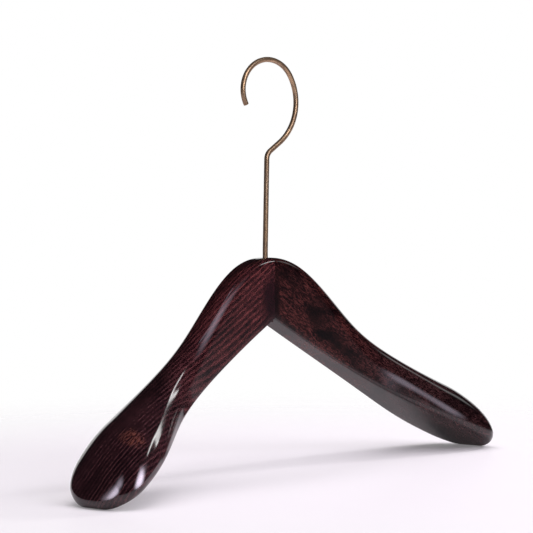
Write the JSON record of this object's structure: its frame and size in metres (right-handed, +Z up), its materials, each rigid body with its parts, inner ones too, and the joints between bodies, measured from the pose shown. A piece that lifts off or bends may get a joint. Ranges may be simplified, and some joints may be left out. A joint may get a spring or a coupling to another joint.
{
  "type": "wooden coat hanger",
  "caption": "Standing wooden coat hanger with wide contoured shoulders joined at a mitre and a wire hook that swivels in the neck.",
  "frame": {"origin": "middle of the footprint, on the surface that the two shoulder ends stand on", "axes": "+X along the shoulders towards the right arm, +Y towards the back of the hanger, +Z up along the hook's upright"},
  "size_m": [0.43, 0.072, 0.2994],
  "materials": {
    "stained_wood": "dark red-brown stain under clear gloss lacquer",
    "key_wood": "bare planed beech",
    "hook_bronze": "antique bronze plating, satin",
    "bush_brass": "turned",
    "zinc_steel": "bright zinc plated"
  },
  "bodies": {
    "hanger_body": {"left_arm": "stained_wood", "right_arm": "stained_wood", "upper_joint_key": "key_wood", "lower_joint_key": "key_wood", "swivel_bush": "bush_brass"},
    "swivel_hook": {"hook": "hook_bronze", "thrust_washer": "zinc_steel", "lock_nut": "zinc_steel"}
  },
  "joints": [
    {"name": "hook_swivel", "type": "hinge", "parent": "hanger_body", "child": "swivel_hook", "pos_m": [0, 0.02677, 0.157], "axis": [0, 0, 1], "continuous": true}
  ]
}
